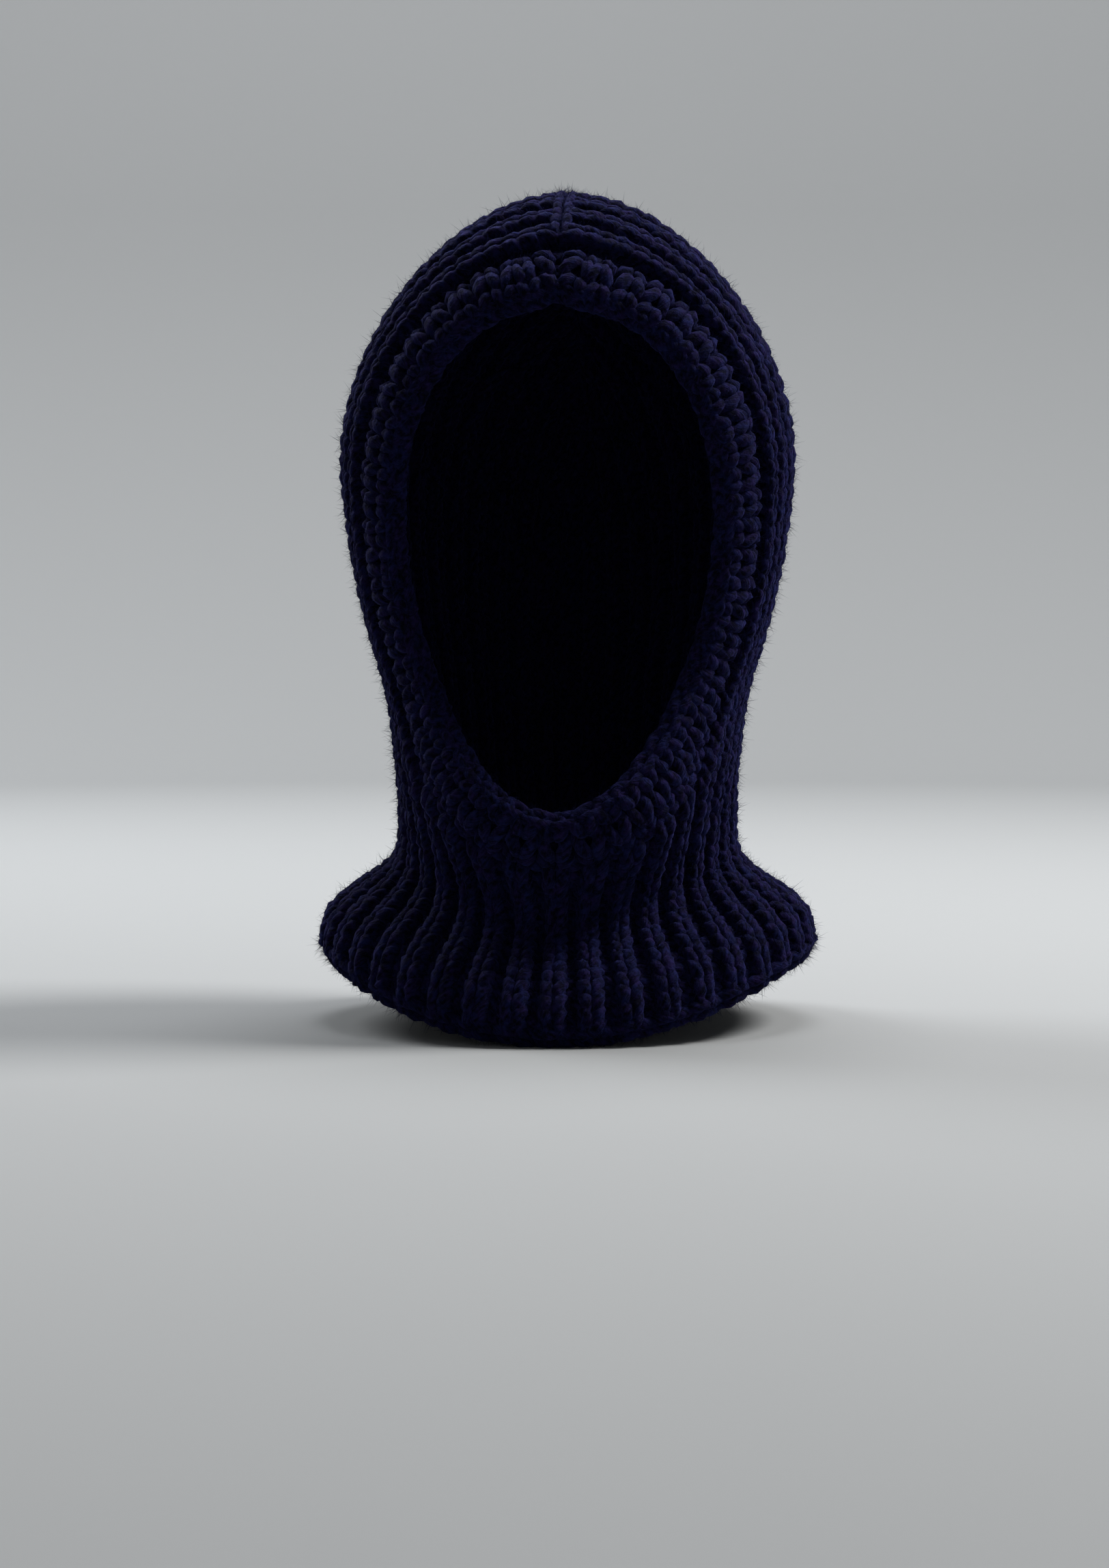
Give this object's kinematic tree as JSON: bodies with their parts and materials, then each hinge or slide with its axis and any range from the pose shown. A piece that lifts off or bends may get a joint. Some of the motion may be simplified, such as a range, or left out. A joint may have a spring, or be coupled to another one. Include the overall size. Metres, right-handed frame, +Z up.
{
  "type": "knitted balaclava",
  "caption": "Hand-knitted ribbed balaclava with a flared collar, a hood closed by a crown seam, and a banded oval face opening.",
  "frame": {"origin": "inside of the crown, where the hood rests on the top of the wearer's head", "axes": "+Z up along the wearer's head, -Y the way the face looks, +X the wearer's left"},
  "size_m": [0.196, 0.2119, 0.3232],
  "materials": {
    "ribbed_wool": "soft matt wool, chunky one by one rib, dark navy",
    "band_wool": "soft matt wool, two rows of firm stitches across the edge, dark navy",
    "edge_wool": "soft matt wool, chained cast-on and bound-off stitches, dark navy",
    "tail_wool": "soft matt wool yarn, dark navy"
  },
  "bodies": {
    "root": {"neck_tube": "ribbed_wool", "hood": "ribbed_wool", "cast_on_hem": "edge_wool", "crown_seam": "edge_wool", "chin_cast_off": "edge_wool", "pick_up_ridge": "edge_wool", "face_band": "band_wool", "face_band_bind_off": "edge_wool", "yarn_tail_hem": "tail_wool", "yarn_tail_band": "tail_wool", "yarn_tail_hood": "tail_wool", "yarn_tail_seam": "tail_wool"}
  },
  "joints": []
}
